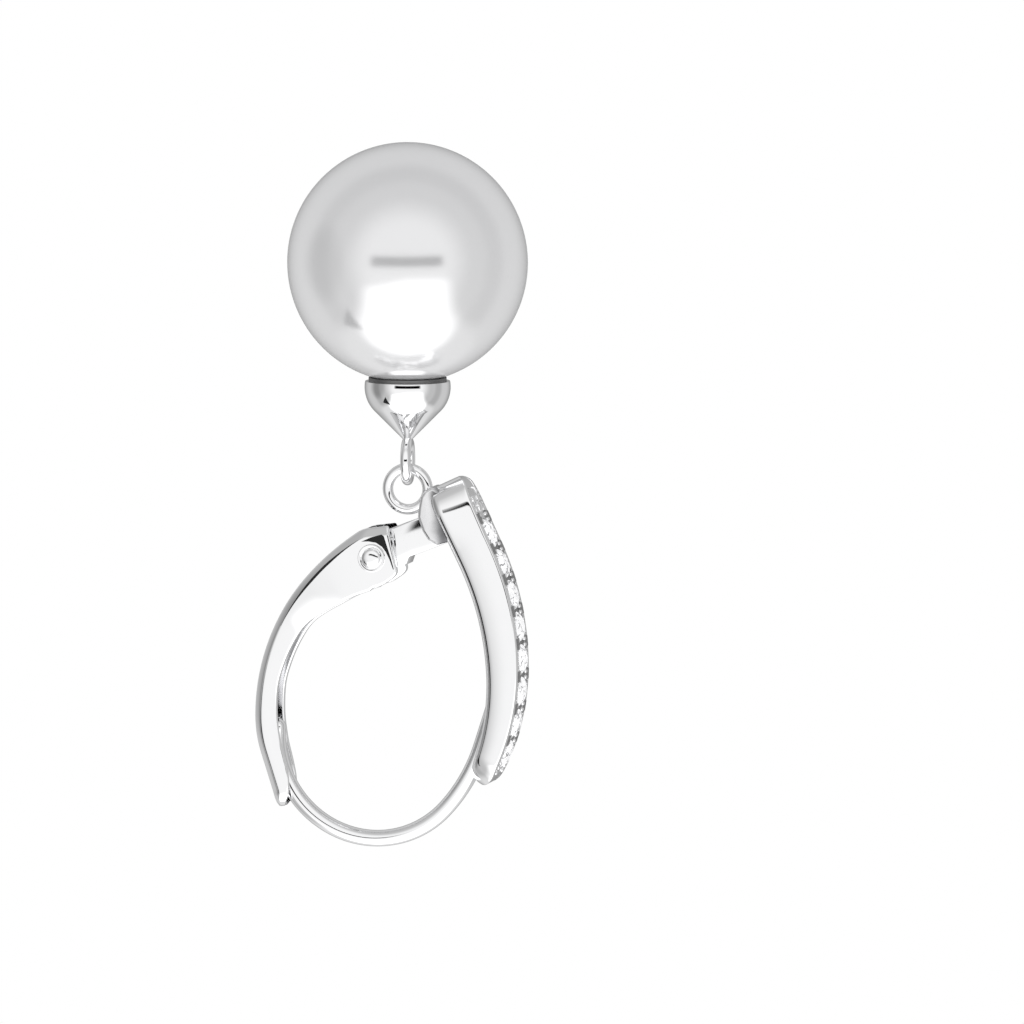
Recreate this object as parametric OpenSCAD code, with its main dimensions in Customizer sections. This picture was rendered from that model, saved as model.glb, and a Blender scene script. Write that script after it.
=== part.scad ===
// Lever-back hoop earring with a stone-set front bar and a hanging pearl.
// Millimetres, +Z up. X runs across the hoop, -Y is the front with the stones, +Y the back.
// The origin is the top inside of the ear wire, where the earring hangs in the ear lobe.

/* [Pearl drop] */
// Diameter of the pearl
pearl_d = 12; // [10:0.5:13]
// Diameter of the hole drilled into the pearl for the peg
drill_d = 0.9; // [0.8:0.05:1.2]
// Depth of the drilled hole
drill_depth = 4; // [3:0.5:5]
// Widest diameter of the metal cup that holds the pearl
cup_d = 4.3; // [4:0.1:4.8]
// Diameter of the short collar between pearl and cup
collar_d = 3.9; // [3.6:0.1:3.9]
// Radius of the rounded shoulder of the cup
cup_round = 1.72; // [1.6:0.02:1.8]
// Distance from the pearl's centre to the centre of the cup's loop
loop_drop = 9.93; // [9.8:0.01:10]
// Radius of the loop to the middle of its wire
loop_r = 0.97; // [0.95:0.01:1]
// Wire diameter of the loop
loop_wire = 0.53; // [0.5:0.01:0.54]
// Turn of the loop away from square to the hoop, in degrees
loop_turn = -9; // [-12:1:12]

/* [Ring on the hoop] */
// Radius of the ring to the middle of its wire
ring_r = 1.03; // [1.02:0.01:1.06]
// Wire diameter of the ring
ring_wire = 0.52; // [0.5:0.01:0.53]
// Distance of the ring's centre in front of the ear wire's top
ring_forward = 1.57; // [1.55:0.01:1.6]
// Distance of the ring's centre below the ear wire's top
ring_below = 17.26; // [17.2:0.02:17.3]

/* [Front bar] */
// Width of the bar, across the hoop
bar_w = 2.36; // [2.3:0.02:2.5]
// Distance of the bar's foremost point in front of the ear wire's top
bar_forward = 7.54; // [7.5:0.02:7.8]
// Distance of that point below the ear wire's top
bar_below = 8.4; // [8.3:0.1:8.5]
// Lean of the straight lower end, in degrees
bar_lean = 25; // [24:0.5:26]
// Length of the straight lower end
bar_straight = 3.95; // [3.8:0.05:4.1]
// Radius of the front curve below the foremost point
bar_r_low = 14.5; // [14:0.1:15]
// Radius of the front curve above the foremost point
bar_r_high = 11.8; // [11.5:0.1:13]
// Length of the front curve above the foremost point
bar_high = 6.45; // [6.3:0.05:6.6]
// Depth of the bar at its lower end
bar_deep_low = 2.06; // [1.9:0.01:2.1]
// Depth of the bar at its upper end
bar_deep_high = 1.2; // [1.15:0.01:1.3]
// How far the front face bends back at the lower end
bar_front_drop = 0.4; // [0.3:0.05:0.6]
// Radius of the bar's back edges
bar_back_round = 0.42; // [0.3:0.02:0.5]

/* [Stones] */
// Number of round stones
stones = 8; // [8]
// Diameter of a stone
stone_d = 1.5; // [1.4:0.05:1.5]
// Distance between stones along the bar
stone_pitch = 1.645; // [1.63:0.005:1.65]
// Distance of the first stone from the bar's lower end
first_stone = 3.21; // [3.15:0.01:3.25]
// Depth of the channel that the stones lie in
channel_deep = 0.12; // [0.1:0.01:0.15]
// Width of the channel
channel_w = 1.56; // [1.56:0.01:1.6]
// Radius of a prong bead
prong_r = 0.14; // [0.12:0.01:0.15]

/* [Ear wire] */
// Diameter of the ear wire
ear_wire_d = 0.83; // [0.8:0.01:0.85]
// Radius of the top arc, to the middle of the wire
ear_r_top = 5.04; // [5:0.02:5.1]
// How far the top arc's centre lies behind the origin
ear_shift = 0.2; // [0.1:0.01:0.25]
// Angle from upright at which the top arc ends at the front, in degrees
ear_angle_front = 47.5; // [45:0.5:50]
// Radius of the arc that runs down to the bar
ear_r_front = 8.8; // [8.5:0.05:9]
// Length of the straight tail that is soldered into the bar's back
ear_tail = 3; // [2.8:0.1:3.2]

/* [Lever and hinge] */
// Distance of the hinge axis below the ear wire's top
hinge_below = 13.85; // [13.8:0.01:13.9]
// Slope of the hinge tab, in degrees
tab_slope = 21.4; // [20:0.2:23]
// Thickness of the hinge tab, across the hoop
tab_t = 1.32; // [1.2:0.02:1.34]
// Radius of the tab's round nose
tab_nose = 1; // [0.9:0.02:1]
// Diameter of the hinge pin
pin_d = 0.9; // [0.8:0.02:0.92]
// Diameter of the pin's flat head
pin_head_d = 1.4; // [1.3:0.05:1.5]
// Thickness of the lever's spine
spine_t = 0.28; // [0.25:0.01:0.3]
// Bevel along both edges of the spine
spine_bevel = 0.3; // [0.2:0.02:0.34]

/* [Hidden] */
$fn = 48;
degree = PI / 180;

// Gaps between pieces
seat_gap = 0.05;
hang_gap = 0.06;
pin_gap = 0.04;
head_gap = 0.02;

// Places
ring_centre = [0, -ring_forward, -ring_below];
loop_hang = ring_r - ring_wire / 2 - loop_wire / 2 - hang_gap;
loop_centre = ring_centre - [0, 0, loop_hang + loop_r];
pearl_centre = loop_centre - [0, 0, loop_drop];
hinge = [0, 0, -hinge_below];

// The front curve of the bar: a straight lower end, then two arcs that meet upright at the foremost point.
// A place on it is its distance "along" from the lower end.
// "lean" is the angle of the curve from upright.
bar_arc_low = bar_r_low * bar_lean * degree;
bar_turn = bar_straight + bar_arc_low;
bar_length = bar_turn + bar_high;

function bar_lean_at(along) =
    along < bar_straight ? bar_lean
    : along < bar_turn ? (bar_turn - along) / bar_r_low / degree
    : (bar_turn - along) / bar_r_high / degree;

function bar_arc_point(lean) =
    let (r = lean > 0 ? bar_r_low : bar_r_high)
    [-bar_forward + r * (1 - cos(lean)), -bar_below - r * sin(lean)];

function bar_point(along) =
    let (below = max(0, bar_straight - along))
    bar_arc_point(bar_lean_at(along)) + below * [sin(bar_lean), -cos(bar_lean)];

// Puts what is drawn with +Z outward on the bar's front, at the distance along from the lower end
module on_bar(along) {
    p = bar_point(along);
    translate([0, p[0], p[1]])
        rotate([90 + bar_lean_at(along), 0, 0])
            children();
}

// The bar's ends are half ellipses: bar_end long seen from the front, and nose_end long seen from the side
bar_end = 1.6;
nose_end = 0.85;
corner_low = 0.3;
front_drop_reach = 0.6;
channel_start = 0.75;
channel_stop = bar_length - 1;
channel_trace = 0.02;
end_steps = 9;
body_steps = 26;

function ellipse_rise(t, reach) = t >= reach ? 1 : sqrt(1 - pow((reach - t) / reach, 2));

function bar_half_w(along) =
    bar_w / 2 * min(ellipse_rise(along, bar_end), ellipse_rise(bar_length - along, bar_end));

function bar_depth(along) =
    bar_deep_low - (bar_deep_low - bar_deep_high) * pow(along / bar_length, 2);

// How far the end rounding moves the front and the back inward
function nose_in(along) = bar_depth(along) / 2 * (1 - ellipse_rise(bar_length - along, nose_end));
function bar_front_in(along) = bar_front_drop * (1 - ellipse_rise(along, front_drop_reach)) + nose_in(along);
function bar_back_in(along) = corner_low * (1 - ellipse_rise(along, corner_low)) + nose_in(along);

function bar_channel(along) =
    along > channel_start && along < channel_stop ? channel_deep : channel_trace;

// One section of the bar as [across, outward] points, the channel in front and round corners at the back.
// Where the bar narrows, channel and corners keep these shares of its half width and depth
bevel = 0.22;
channel_share = 0.66;
corner_share = 0.8;
corner_deep_share = 0.4;
corner_step = 18;
function bar_section(along) =
    let (
        hw = bar_half_w(along),
        top = -bar_front_in(along),
        deep = bar_depth(along) - bar_back_in(along),
        b = min(bevel, hw / 4),
        cw = min(channel_w / 2, hw * channel_share),
        floor_z = top - bar_channel(along),
        r = min(bar_back_round, hw * corner_share, (deep + top) * corner_deep_share),
        back = [for (a = [0:corner_step:90]) [hw - r + r * cos(a), -deep + r - r * sin(a)]]
    )
    concat(
        [[cw, floor_z], [cw, top], [hw - b, top], [hw, top - b]],
        back,
        [for (i = [len(back) - 1:-1:0]) [-back[i][0], back[i][1]]],
        [[-hw, top - b], [b - hw, top], [-cw, top], [-cw, floor_z]]
    );

function bar_stations() = concat(
    [for (i = [1:end_steps - 1]) bar_end * (1 - cos(90 * i / end_steps))],
    [for (i = [0:body_steps]) bar_end + (bar_length - 2 * bar_end) * i / body_steps],
    [for (i = [end_steps - 1:-1:1]) bar_length - bar_end * (1 - cos(90 * i / end_steps))]
);

function on_bar_point(along, q) =
    let (p = bar_point(along), lean = bar_lean_at(along))
    [q[0], p[0] - q[1] * cos(lean), p[1] - q[1] * sin(lean)];

// Joins rings of equally many points into one closed skin; "caps" splits an end into convex pieces
module skin(rings, caps) {
    n = len(rings[0]);
    last = len(rings) - 1;
    polyhedron(
        points = [for (ring = rings) for (p = ring) p],
        faces = concat(
            caps,
            [for (k = [0:last - 1]) for (i = [0:n - 1])
                [k * n + i, (k + 1) * n + i, (k + 1) * n + (i + 1) % n]],
            [for (k = [0:last - 1]) for (i = [0:n - 1])
                [k * n + i, (k + 1) * n + (i + 1) % n, k * n + (i + 1) % n]],
            [for (cap = caps) [for (i = [len(cap) - 1:-1:0]) last * n + cap[i]]]
        )
    );
}

// Stone proportions, as parts of its diameter: table width, crown height, girdle and pavilion height
table_part = 0.57;
crown_part = 0.147;
girdle_part = 0.033;
pavilion_part = 0.43;
star_part = 0.8;
lower_part = 0.26;
girdle_below = 0.08;

function spot(r, a, z) = [r * cos(a), r * sin(a), z];

// A round brilliant with its girdle's upper edge at z = 0
module brilliant(d) {
    r = d / 2;
    rt = r * table_part;
    rs = r * star_part;
    rl = r * lower_part;
    crown = d * crown_part;
    girdle = d * girdle_part;
    pavilion = d * pavilion_part;
    half = 22.5;
    star_z = (r - rs * cos(half)) * crown / (r - rt);
    lower_z = -girdle - (r - rl * cos(half)) * pavilion / r;
    table_ring = [for (i = [0:7]) spot(rt, 45 * i, crown)];
    star_ring = [for (i = [0:7]) spot(rs, 45 * i + half, star_z)];
    girdle_top = [for (i = [0:15]) spot(r, half * i, 0)];
    girdle_bottom = [for (i = [0:15]) spot(r, half * i, -girdle)];
    lower_ring = [for (i = [0:7]) spot(rl, 45 * i + half, lower_z)];
    // Number of the first point of each ring: table, star, girdle top and bottom, lower ring, and the point
    t = 0;
    s = 8;
    g = 16;
    h = 32;
    l = 48;
    c = 56;
    polyhedron(
        points = concat(
            table_ring, star_ring, girdle_top, girdle_bottom, lower_ring,
            [[0, 0, -girdle - pavilion]]
        ),
        faces = concat(
            [[for (i = [7:-1:0]) t + i]],
            [for (i = [0:7]) [t + i, t + (i + 1) % 8, s + i]],
            [for (i = [0:7]) [t + i, s + i, g + 2 * i, s + (i + 7) % 8]],
            [for (i = [0:7]) [s + i, g + 2 * i + 1, g + 2 * i]],
            [for (i = [0:7]) [s + i, g + (2 * i + 2) % 16, g + 2 * i + 1]],
            [for (i = [0:15]) [g + i, g + (i + 1) % 16, h + (i + 1) % 16, h + i]],
            [for (i = [0:7]) [h + 2 * i, h + 2 * i + 1, l + i]],
            [for (i = [0:7]) [h + 2 * i + 1, h + (2 * i + 2) % 16, l + i]],
            [for (i = [0:7]) [h + 2 * i, l + i, c, l + (i + 7) % 8]]
        )
    );
}

module stone(number) {
    color("white")
        on_bar(first_stone + number * stone_pitch)
            translate([0, 0, -girdle_below])
                brilliant(stone_d);
}

// The hollow under a stone: a straight rim that opens to the front, then a cone for its point
module stone_seat() {
    rim_r = stone_d / 2 + seat_gap;
    rim_deep = girdle_below + stone_d * girdle_part + seat_gap;
    cone_deep = stone_d * pavilion_part + seat_gap;
    translate([0, 0, -rim_deep]) cylinder(r = rim_r, h = rim_deep + 1);
    translate([0, 0, -rim_deep - cone_deep]) cylinder(r1 = seat_gap, r2 = rim_r, h = cone_deep);
}

// Two pairs of small beads at the cut between two stones
prong_across = 0.6;
prong_apart = 0.1;
prong_below = 0.1;
module prongs() {
    for (side = [-1, 1], end = [-1, 1])
        translate([side * prong_across, end * prong_apart, -prong_below])
            sphere(r = prong_r, $fn = 16);
}

bar_caps = [[0, 1, 2, 3], [for (i = [3:16]) i, 19, 0], [16, 17, 18, 19]];
module front_bar() {
    difference() {
        skin([for (along = bar_stations()) [for (q = bar_section(along)) on_bar_point(along, q)]], bar_caps);
        for (i = [0:stones - 1])
            on_bar(first_stone + i * stone_pitch) stone_seat();
    }
    for (i = [0:stones])
        on_bar(first_stone + (i - 0.5) * stone_pitch) prongs();
}

// A stretch of ear wire round a centre [y, z]; angles run from straight down towards the back
module wire_arc(centre, r, from, to) {
    translate([0, centre[0], centre[1]])
        rotate([0, 90, 0])
            rotate([0, 0, from])
                rotate_extrude(angle = to - from)
                    translate([r, 0])
                        circle(d = ear_wire_d);
}

ear_top_centre = [ear_shift, ear_wire_d / 2 - ear_r_top];
ear_side = [-sin(ear_angle_front), cos(ear_angle_front)];
ear_front_centre = ear_top_centre + (ear_r_top - ear_r_front) * ear_side;
ear_back_end = 85;
ear_front_end = 252;
ear_tip = ear_top_centre + ear_r_top * [sin(ear_back_end), -cos(ear_back_end)];
ear_foot = ear_front_centre + ear_r_front * [sin(ear_front_end), -cos(ear_front_end)];

// The stretches meet in small balls, a touch thicker than the wire.
// The free end is a ball of nearly its size.
ear_joint_d = ear_wire_d + 0.02;
ear_tip_d = ear_wire_d - 0.01;
module ear_ball(p, d) {
    translate([0, p[0], p[1]]) sphere(d = d);
}

module ear_wire() {
    wire_arc(ear_top_centre, ear_r_top, ear_back_end, 180 + ear_angle_front);
    wire_arc(ear_front_centre, ear_r_front, 180 + ear_angle_front, ear_front_end);
    ear_ball(ear_top_centre + ear_r_top * ear_side, ear_joint_d);
    ear_ball(ear_foot, ear_joint_d);
    ear_ball(ear_tip, ear_tip_d);
    translate([0, ear_foot[0], ear_foot[1]])
        rotate([ear_front_end - 270, 0, 0])
            translate([0, 0, -ear_tail])
                cylinder(d = ear_wire_d, h = ear_tail);
}

// Puts a flat shape on the hinge: its x runs along the tab to the bar, its y across the tab, downward
module on_hinge(thickness) {
    translate(hinge)
        rotate([tab_slope - 90, 0, 0])
            rotate([0, 90, 0])
                linear_extrude(thickness, center = true)
                    children();
}

// Tab outline: [along, across] from the shoulder round to the heel
shoulder = 1.25;
tab_low = 1.06;
tab_high = -0.61;
heel = -0.9;
heel_start = 1.45;
heel_end = 1.7;
neck = 0.5;
tab_reach = 4;
module hinge_tab() {
    difference() {
        union() {
            on_hinge(tab_t) {
                circle(r = tab_nose);
                polygon([
                    [0, neck], [shoulder, neck], [shoulder, tab_low], [tab_reach, tab_low],
                    [tab_reach, tab_high], [heel_end, tab_high], [heel_start, heel], [0, heel]
                ]);
            }
            tab_foot();
        }
        on_hinge(tab_t + 1) circle(d = pin_d + 2 * pin_gap);
    }
}

// The flared foot that carries tab and ring on the bar's back, as [y, z] points
foot_w = 1.5;
module tab_foot() {
    rotate([90, 0, 90])
        linear_extrude(foot_w, center = true)
            polygon([
                [-2.6, -17.25], [-2.4, -16.95], [-2.3, -16.4], [-2.25, -15.9], [-2.5, -15.2], [-2.8, -14.75],
                [-3.25, -14.5], [-4.4, -14.9], [-3.9, -16.2], [-3.6, -17.2], [-3.0, -17.5]
            ]);
}

module ring() {
    translate(ring_centre)
        rotate([0, 90, 0])
            rotate_extrude()
                translate([ring_r, 0])
                    circle(d = ring_wire);
}

module hoop() {
    color("silver") {
        front_bar();
        ear_wire();
        hinge_tab();
        ring();
    }
}

// The lever's back edge: a straight start, a turn round the hinge, and arcs and a straight end up to the tip.
// Each row: radius (0 is straight), direction at its end in degrees from +Y, and length where straight
lever_start = 8;
lever_lead = 1;
lever_turn_r = 1.5;
lever_path = [
    [lever_turn_r, 33.9, 0],
    [14.5, 48.6, 0],
    [10.55, 90, 0],
    [6.25, 107.8, 0],
    [0, 107.8, 2.6]
];

function path_length(row, from) = row[0] == 0 ? row[2] : row[0] * (row[1] - from) * degree;

function path_step(row, from, run) =
    row[0] == 0 ? run * [cos(from), sin(from)]
    : let (to = from + run / row[0] / degree) row[0] * [sin(to) - sin(from), cos(from) - cos(to)];

// Point and direction [y, z, direction] on the lever's back edge
function lever_at(along, row = 0, p = undef, from = lever_start) =
    let (
        at = p == undef
            ? [lever_turn_r * sin(lever_start), -hinge_below - lever_turn_r * cos(lever_start)]
            : p,
        run = row == 0 && p == undef ? along - lever_lead : along
    )
    run <= 0 && row == 0 ? concat(at + run * [cos(from), sin(from)], [from])
    : let (stretch = path_length(lever_path[row], from))
        run <= stretch || row == len(lever_path) - 1
            ? concat(
                at + path_step(lever_path[row], from, run),
                [lever_path[row][0] == 0 ? from : from + run / lever_path[row][0] / degree]
            )
            : lever_at(
                run - stretch, row + 1,
                at + path_step(lever_path[row], from, stretch), lever_path[row][1]
            );

// Lever sections: distance along the back edge, height of the side walls, lean of the section
// from square in degrees, half width, and wall thickness
lever_half = 1.12;
cheek_t = 0.4;
lever_rows = [
    [0, 2.4, 5, lever_half, cheek_t],
    [0.2, 2.62, 4, lever_half, cheek_t],
    [1, 3.05, 2, lever_half, cheek_t],
    [1.35, 3.05, -12, lever_half, cheek_t],
    [1.72, 3.02, -25, lever_half, cheek_t],
    [2.8, 2.68, -23, lever_half, cheek_t],
    [3.9, 2.36, -16, 1.1, 0.38],
    [5.2, 2.06, -6, 1.04, 0.34],
    [6.4, 1.78, 3, 0.96, 0.31],
    [7.4, 1.58, 13, 0.9, 0.3],
    [8.1, 1.48, 19, 0.86, 0.29],
    [9.7, 1.33, 18, 0.83, 0.28],
    [11.4, 1.16, 11, 0.82, 0.28],
    [12.4, 1.2, 6, 0.82, 0.28],
    [14, 1.26, -3, 0.82, 0.28],
    [16.2, 1.12, -6, 0.8, 0.27],
    [16.95, 0.98, -6, 0.7, 0.24],
    [17.5, 0.6, -10, 0.48, 0.16],
    [17.8, 0.3, -10, 0.24, 0.08]
];
lever_steps = 44;
lever_end = lever_rows[len(lever_rows) - 1][0];
bevel_share = 0.4;

function lever_row(along, column) = lookup(along, [for (row = lever_rows) [row[0], row[column]]]);

function lever_section(along) =
    let (
        at = lever_at(along),
        wall = lever_row(along, 1),
        lean = at[2] + 90 + lever_row(along, 2),
        hw = lever_row(along, 3),
        t = lever_row(along, 4),
        b = min(spine_bevel, hw * bevel_share, wall * bevel_share),
        deep = min(spine_t, wall / 2),
        outline = [
            [hw, wall], [hw, b], [hw - b, 0], [b - hw, 0], [-hw, b], [-hw, wall],
            [t - hw, wall], [t - hw, deep], [hw - t, deep], [hw - t, wall]
        ]
    )
    [for (q = outline) [q[0], at[0] + q[1] * cos(lean), at[1] + q[1] * sin(lean)]];

// The spine stops short of the hinge, so that it clears the tab when the lever opens
spine_stop = -0.2;
spine_cut = [4, 6];
lever_caps = [[0, 1, 8, 9], [1, 2, 8], [2, 3, 7, 8], [3, 4, 7], [4, 5, 6, 7]];
module lever() {
    color("silver")
        difference() {
            skin([for (i = [0:lever_steps]) lever_section(lever_end * i / lever_steps)], lever_caps);
            on_hinge(2 * (lever_half - cheek_t))
                translate([spine_stop, -spine_cut[1] / 2])
                    square(spine_cut);
            on_hinge(4 * lever_half) circle(d = pin_d + 2 * head_gap);
        }
}

// Hinge pin: a plain shaft with a flat head and a dome at both ends
head_t = 0.1;
dome_d = 0.96;
dome_t = 0.26;
module hinge_pin() {
    pin_half = lever_half + head_gap;
    color("gainsboro")
        translate(hinge)
            rotate([0, 90, 0]) {
                cylinder(d = pin_d, h = 2 * pin_half, center = true);
                for (side = [0, 180])
                    rotate([side, 0, 0])
                        translate([0, 0, pin_half])
                            pin_head();
            }
}

module pin_head() {
    ball_r = (pow(dome_d / 2, 2) + pow(dome_t, 2)) / (2 * dome_t);
    cylinder(d = pin_head_d, h = head_t);
    intersection() {
        translate([0, 0, dome_t - ball_r]) sphere(r = ball_r);
        cylinder(d = dome_d, h = dome_t);
    }
}

// The cup, drawn with the pearl's centre at 0 and +Z towards the loop: a collar, a shoulder that is widest
// a little above the pearl's rim, and a cone at 45 degrees that ends inside the loop's wire
peg_deep = 3.4;
peg_rise = 0.3;
collar_h = 0.35;
collar_lap = 0.15;
shoulder_rise = 0.5;
loop_sunk = 0.1;
module cup_body() {
    cup_r = cup_d / 2;
    seat = pearl_d / 2 + seat_gap;
    rim = sqrt(pow(seat, 2) - pow(collar_d / 2, 2));
    widest = rim + shoulder_rise;
    lowest = rim + collar_h - collar_lap;
    round_in = cup_r - cup_round;
    slant = cup_round * sqrt(0.5);
    tip = loop_drop - loop_r - loop_sunk;
    tip_r = round_in + 2 * slant - (tip - widest);
    difference() {
        rotate_extrude() {
            intersection() {
                translate([round_in, widest]) circle(r = cup_round, $fn = 96);
                translate([0, lowest]) square([cup_r, widest + slant - lowest]);
            }
            polygon([
                [0, widest], [round_in + slant - 0.02, widest], [round_in + slant, widest + slant],
                [tip_r, tip], [0, tip]
            ]);
            translate([0, rim - seat_gap]) square([collar_d / 2, collar_h]);
        }
        sphere(r = seat, $fn = 200);
    }
    peg_top = seat + peg_rise;
    translate([0, 0, pearl_d / 2 - peg_deep])
        cylinder(d = drill_d - 2 * seat_gap, h = peg_top - pearl_d / 2 + peg_deep);
}

module pearl_cup() {
    color("silver")
        translate(pearl_centre) {
            cup_body();
            translate([0, 0, loop_drop])
                rotate([0, 0, loop_turn])
                    rotate([90, 0, 0])
                        rotate_extrude()
                            translate([loop_r, 0])
                                circle(d = loop_wire);
        }
}

module pearl() {
    color("whitesmoke")
        translate(pearl_centre)
            difference() {
                sphere(d = pearl_d, $fn = 120);
                translate([0, 0, pearl_d / 2 - drill_depth]) cylinder(d = drill_d, h = drill_depth + 1);
            }
}

hoop();
lever();
hinge_pin();
pearl_cup();
pearl();
stone(0);  // stone_1
stone(1);  // stone_2
stone(2);  // stone_3
stone(3);  // stone_4
stone(4);  // stone_5
stone(5);  // stone_6
stone(6);  // stone_7
stone(7);  // stone_8
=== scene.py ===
# %% [markdown]
# # Pearl drop earring with a lever-back hoop
# A drop earring of polished silver. A thin wire goes through the ear, a hinged lever closes the hoop from
# behind, a curved bar with a row of round stones covers its front, and a pearl hangs below in a small cup.
# The solid model gives every place and size. This file gives each piece its real surface: the smooth
# sweep of the bar, the round wire, the pressed lever, the turned cup, and what polished silver, pearl and
# cut stone do with light.

# %% Frame
from math import acos, asin, atan2, cos, degrees, hypot, pi, radians, sin, sqrt, tan

import bmesh
import bpy
from mathutils import Matrix, Vector


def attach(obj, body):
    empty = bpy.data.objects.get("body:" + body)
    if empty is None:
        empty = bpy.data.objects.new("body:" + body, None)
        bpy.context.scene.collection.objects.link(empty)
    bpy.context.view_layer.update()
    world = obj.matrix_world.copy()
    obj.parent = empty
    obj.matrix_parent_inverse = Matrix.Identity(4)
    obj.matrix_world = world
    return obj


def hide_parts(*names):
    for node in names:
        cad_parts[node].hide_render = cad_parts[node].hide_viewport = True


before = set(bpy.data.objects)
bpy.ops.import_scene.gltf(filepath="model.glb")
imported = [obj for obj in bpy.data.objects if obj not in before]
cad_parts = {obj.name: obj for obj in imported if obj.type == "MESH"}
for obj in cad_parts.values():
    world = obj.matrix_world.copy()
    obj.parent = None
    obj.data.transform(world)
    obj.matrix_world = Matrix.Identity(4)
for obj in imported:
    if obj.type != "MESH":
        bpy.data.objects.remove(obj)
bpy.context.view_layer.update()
MM = 0.001

# %% [markdown]
# ## Places and sizes
# The same named values as in the solid model, in millimetres. The hoop lies in the plane X = 0, the stones
# face -Y, and +Z is up towards the ear. They could be measured on the solids instead, but named values say
# what each number means, and a piece can be changed without hunting for it.

# %% Sizes
PEARL_R, DRILL_R, DRILL_DEEP = 6.0, 0.45, 4.0
RING_C, RING_R, RING_WIRE = (-1.57, -17.26), 1.03, 0.26
LOOP_R, LOOP_WIRE, LOOP_TURN, LOOP_DROP = 0.97, 0.265, -9.0, 9.93
HANG = RING_R - RING_WIRE - LOOP_WIRE - 0.06
LOOP_Z = RING_C[1] - HANG - LOOP_R
PEARL_Z = LOOP_Z - LOOP_DROP
HINGE_Z = -13.85
BAR_W, BAR_END, NOSE_END = 2.36, 1.6, 0.85
BAR_F, BAR_B, LEAN, STRAIGHT, R_LOW, R_HIGH, HIGH = 7.54, 8.4, 25.0, 3.95, 14.5, 11.8, 6.45
DEEP_LOW, DEEP_HIGH, BACK_ROUND = 2.06, 1.2, 0.42
TURN = STRAIGHT + R_LOW * radians(LEAN)
BAR_L = TURN + HIGH
STONES, PITCH, FIRST = 8, 1.645, 3.21
CHANNEL = (0.75, BAR_L - 1.0)
WIRE_R = 0.415
print("pearl centre %.2f mm below the ear, bar %.2f mm long" % (-PEARL_Z, BAR_L))

# %% [markdown]
# ## From points to a piece
# Each piece starts as points and faces in millimetres and ends as a mesh in metres. Modelling by hand with
# Blender's own tools would work too, but a curve given by numbers meets the solid model exactly. Faces are
# shaded smooth, and only edges steeper than a given angle stay crisp, as on polished metal.

# %% Pieces from points
def new_piece(name, mesh, sharp=35.0):
    mesh.transform(Matrix.Scale(MM, 4))
    for face in mesh.polygons:
        face.use_smooth = True
    mesh.set_sharp_from_angle(angle=radians(sharp))
    piece = bpy.data.objects.new(name, mesh)
    bpy.context.scene.collection.objects.link(piece)
    return piece


def mesh_of(name, points, faces):
    mesh = bpy.data.meshes.new(name)
    mesh.from_pydata([tuple(p) for p in points], [], faces)
    mesh.validate()
    work = bmesh.new()
    work.from_mesh(mesh)
    bmesh.ops.recalc_face_normals(work, faces=work.faces)
    work.to_mesh(mesh)
    work.free()
    return mesh


def join_parts(name, parts, sharp=35.0):
    """One piece from parts that are each a list of points and a list of faces."""
    points, faces = [], []
    for part_points, part_faces in parts:
        base = len(points)
        points += part_points
        faces += [[base + i for i in f] for f in part_faces]
    return new_piece(name, mesh_of(name, points, faces), sharp)


# %% [markdown]
# ## Skins, turned forms and bent wire
# Jewellery is mostly sweeps and turned forms. A skin over rings of points makes both: rings round an axis
# give a turned form, rings across a path give bent wire. A closed ring of wire is the one form without ends.

# %% Skins
def ring_part(rings):
    """Quads between rings of equal length, and a face over each end."""
    n = len(rings[0])
    last = (len(rings) - 1) * n
    faces = [list(range(n))[::-1], [last + i for i in range(n)]]
    for k in range(0, last, n):
        for i in range(n):
            j = (i + 1) % n
            faces.append([k + i, k + j, k + n + j, k + n + i])
    return [p for ring in rings for p in ring], faces


def skin(name, *stacks, sharp=35.0):
    return join_parts(name, [ring_part(rings) for rings in stacks], sharp)


def lathe_rings(profile, steps, place):
    """Rings round +Z from (radius, height) pairs; place puts a point where it belongs."""
    turns = [2 * pi * i / steps for i in range(steps)]
    rings = []
    for wide, h in profile:
        r = max(wide, 1e-4)
        rings.append([place(Vector((r * cos(a), r * sin(a), h))) for a in turns])
    return rings


def tube_rings(path, radii, around=28):
    """Rings across a path in the plane X = 0."""
    rings = []
    for i, p in enumerate(path):
        a, b = path[max(0, i - 1)], path[min(len(path) - 1, i + 1)]
        along = (Vector(b) - Vector(a)).normalized()
        side = Vector((1, 0, 0))
        out = along.cross(side)
        turns = [2 * pi * k / around for k in range(around)]
        rings.append([Vector(p) + radii[i] * (cos(t) * side + sin(t) * out) for t in turns])
    return rings


def wire_ring_part(ring_r, wire_r, place, steps=96, around=28):
    points, faces = [], []
    for i in range(steps):
        a = 2 * pi * i / steps
        for j in range(around):
            b = 2 * pi * j / around
            r = ring_r + wire_r * cos(b)
            points.append(place(Vector((r * cos(a), r * sin(a), wire_r * sin(b)))))
    for i in range(steps):
        for j in range(around):
            k, l = (i + 1) % steps, (j + 1) % around
            faces.append([i * around + j, k * around + j, k * around + l, i * around + l])
    return points, faces


# %% [markdown]
# ## Sheet with soft edges
# Flat parts are cut from an outline. Its corners are rounded before it gets its thickness, and its rims
# are rounded after, because no polished edge is truly sharp.

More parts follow.
